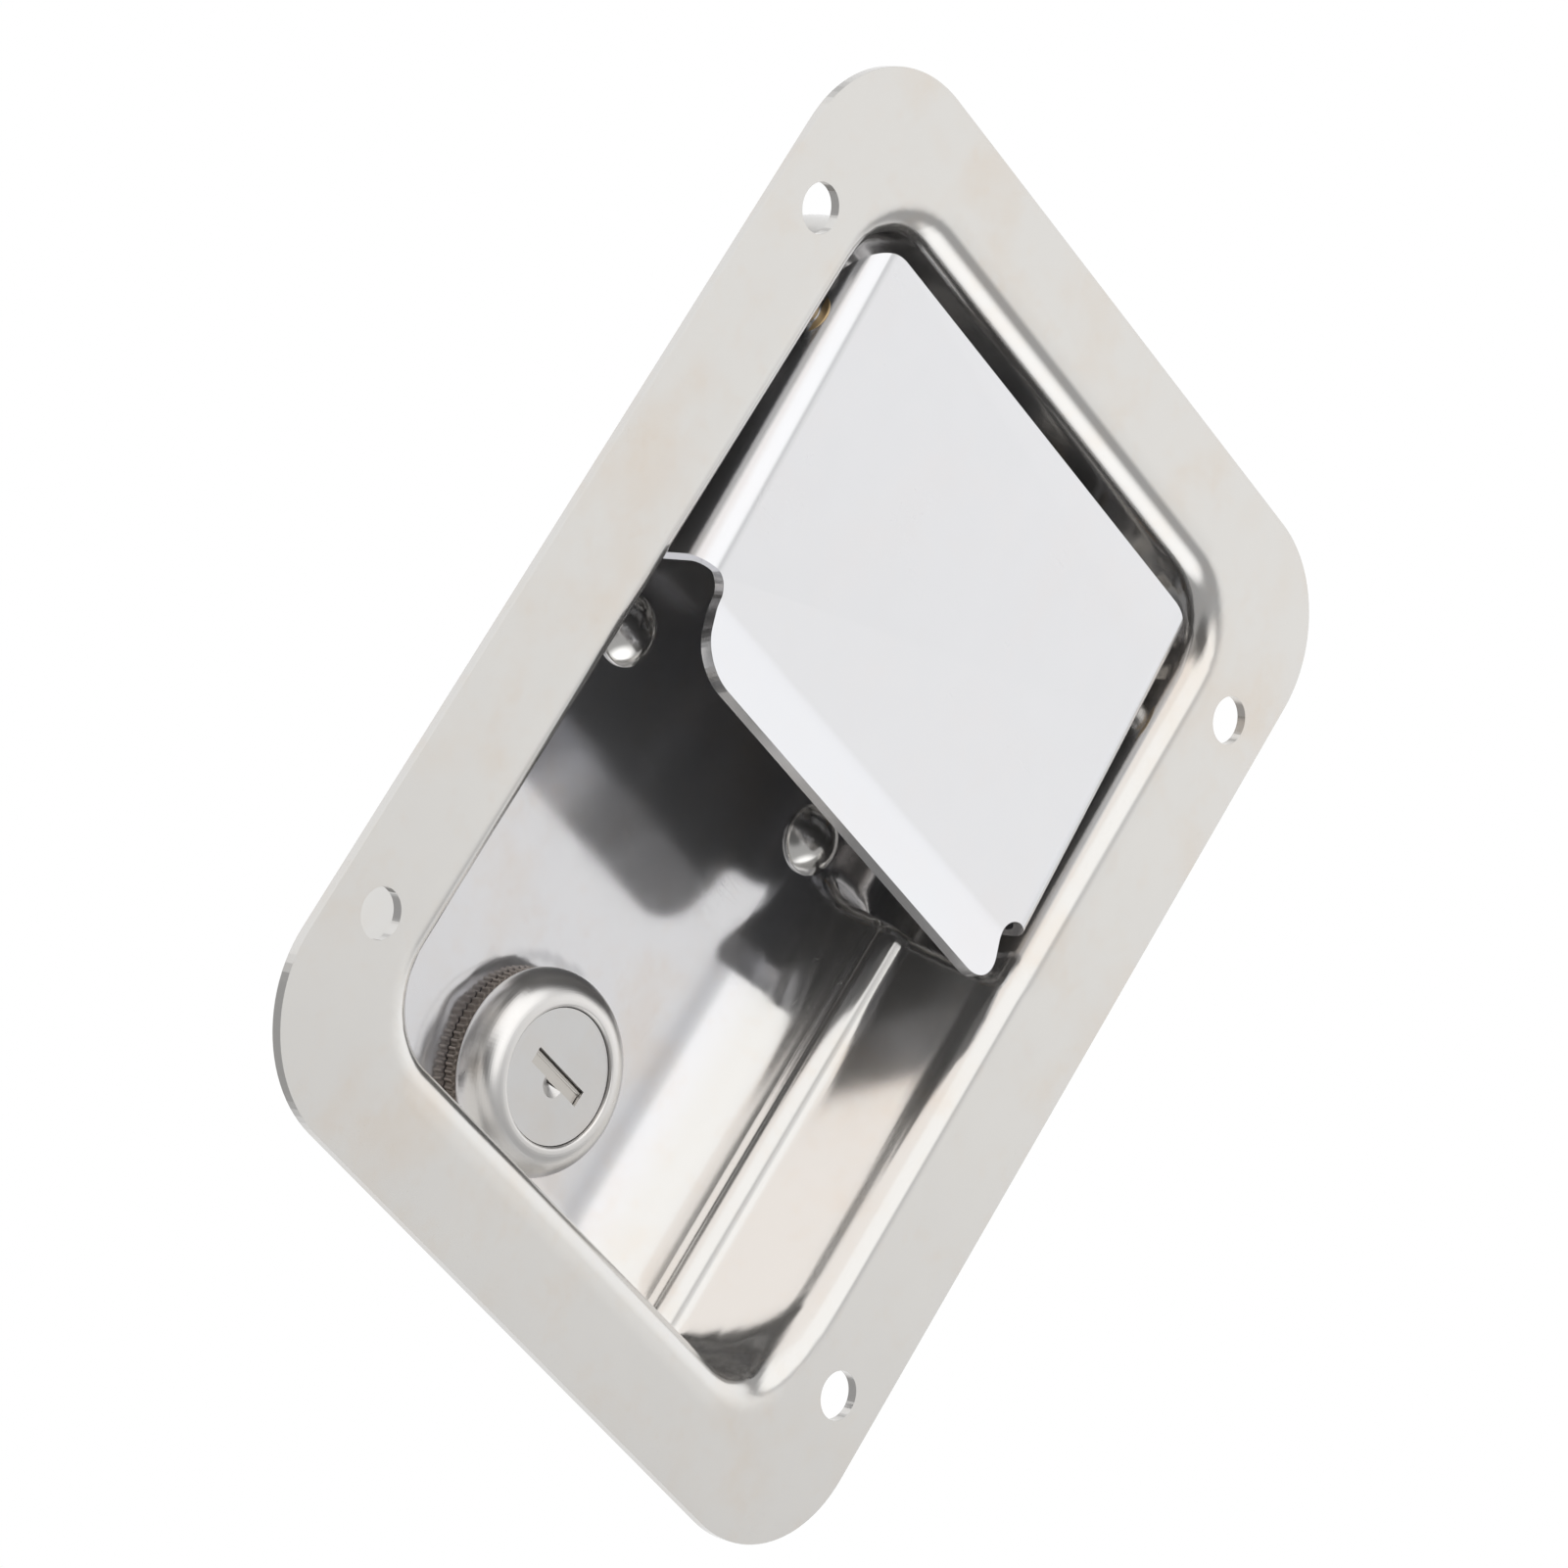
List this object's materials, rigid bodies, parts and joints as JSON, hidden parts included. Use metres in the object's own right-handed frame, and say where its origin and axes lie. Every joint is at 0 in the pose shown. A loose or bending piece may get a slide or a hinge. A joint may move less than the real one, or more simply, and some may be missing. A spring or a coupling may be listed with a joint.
{
  "type": "paddle latch",
  "caption": "Recessed paddle latch for a flush door: pressed steel dish, hinged finger paddle, key lock in the floor, and a spring slam bolt behind that the paddle pulls back.",
  "frame": {"origin": "middle of the flange's back face, which lies on the door panel and is the plane of the four mounting holes", "axes": "+Z along the height of the latch towards the bolt, +X to the right as seen from the front, +Y into the panel"},
  "size_m": [0.108, 0.0446, 0.15],
  "materials": {
    "pan_steel": "polished stainless sheet with fine scratches and handling marks",
    "paddle_steel": "polished stainless sheet with fine scratches",
    "pin_steel": "ground",
    "bush_bronze": "oil-soaked sintered bronze",
    "forged_steel": "forged, zinc plated",
    "spring_steel": "bright wire",
    "zinc_steel": "zinc plated",
    "rivet_steel": "polished heads",
    "lock_chrome": "satin pearl chrome on zinc die-casting",
    "plug_nickel": "satin nickel face",
    "shutter_nickel": "dull nickel",
    "wafer_brass": "stamped"
  },
  "bodies": {
    "frame": {"pan": "pan_steel", "bolt_housing": "zinc_steel", "housing_rivets": "rivet_steel", "pivot_pin": "pin_steel", "pin_clips": "spring_steel", "lock_body": "lock_chrome", "toothed_collar": "lock_chrome", "lock_washer": "zinc_steel", "lock_nut": "zinc_steel", "bolt_spring": "spring_steel"},
    "paddle": {"paddle": "paddle_steel", "drive_lever": "forged_steel", "paddle_bushes": "bush_bronze", "return_springs": "spring_steel"},
    "bolt": {"slam_bolt": "zinc_steel", "tail_rod": "pin_steel", "tail_clip": "spring_steel"},
    "plug": {"lock_plug": "plug_nickel", "wafer_tumblers": "wafer_brass", "lock_cam": "zinc_steel", "cam_washer": "zinc_steel", "cam_screw": "zinc_steel", "plug_clip": "spring_steel"},
    "shutter": {"key_shutter": "shutter_nickel"}
  },
  "joints": [
    {"name": "paddle_hinge", "type": "hinge", "parent": "frame", "child": "paddle", "pos_m": [0, 0.0047, 0.041], "axis": [-1, 0, 0], "range_deg": [0, 30], "stiffness_Nm_per_rad": 0.15, "springref_deg": -20.05},
    {"name": "bolt_slide", "type": "slide", "parent": "frame", "child": "bolt", "axis": [0, 0, -1], "range_m": [0, 0.0113], "deforming": ["bolt_spring"]},
    {"name": "plug_turn", "type": "hinge", "parent": "frame", "child": "plug", "pos_m": [0, 0.0145, -0.0389], "axis": [0, -1, 0], "range_deg": [0, 90]},
    {"name": "shutter_flap", "type": "hinge", "parent": "plug", "child": "shutter", "pos_m": [0, 0.0152, -0.0383], "axis": [1, 0, 0], "range_deg": [0, 70], "stiffness_Nm_per_rad": 0.0005, "springref_deg": -11.46}
  ],
  "couplings": [
    {"joint": "bolt_slide", "follows": "paddle_hinge", "m_per_rad": 0.021582}
  ]
}
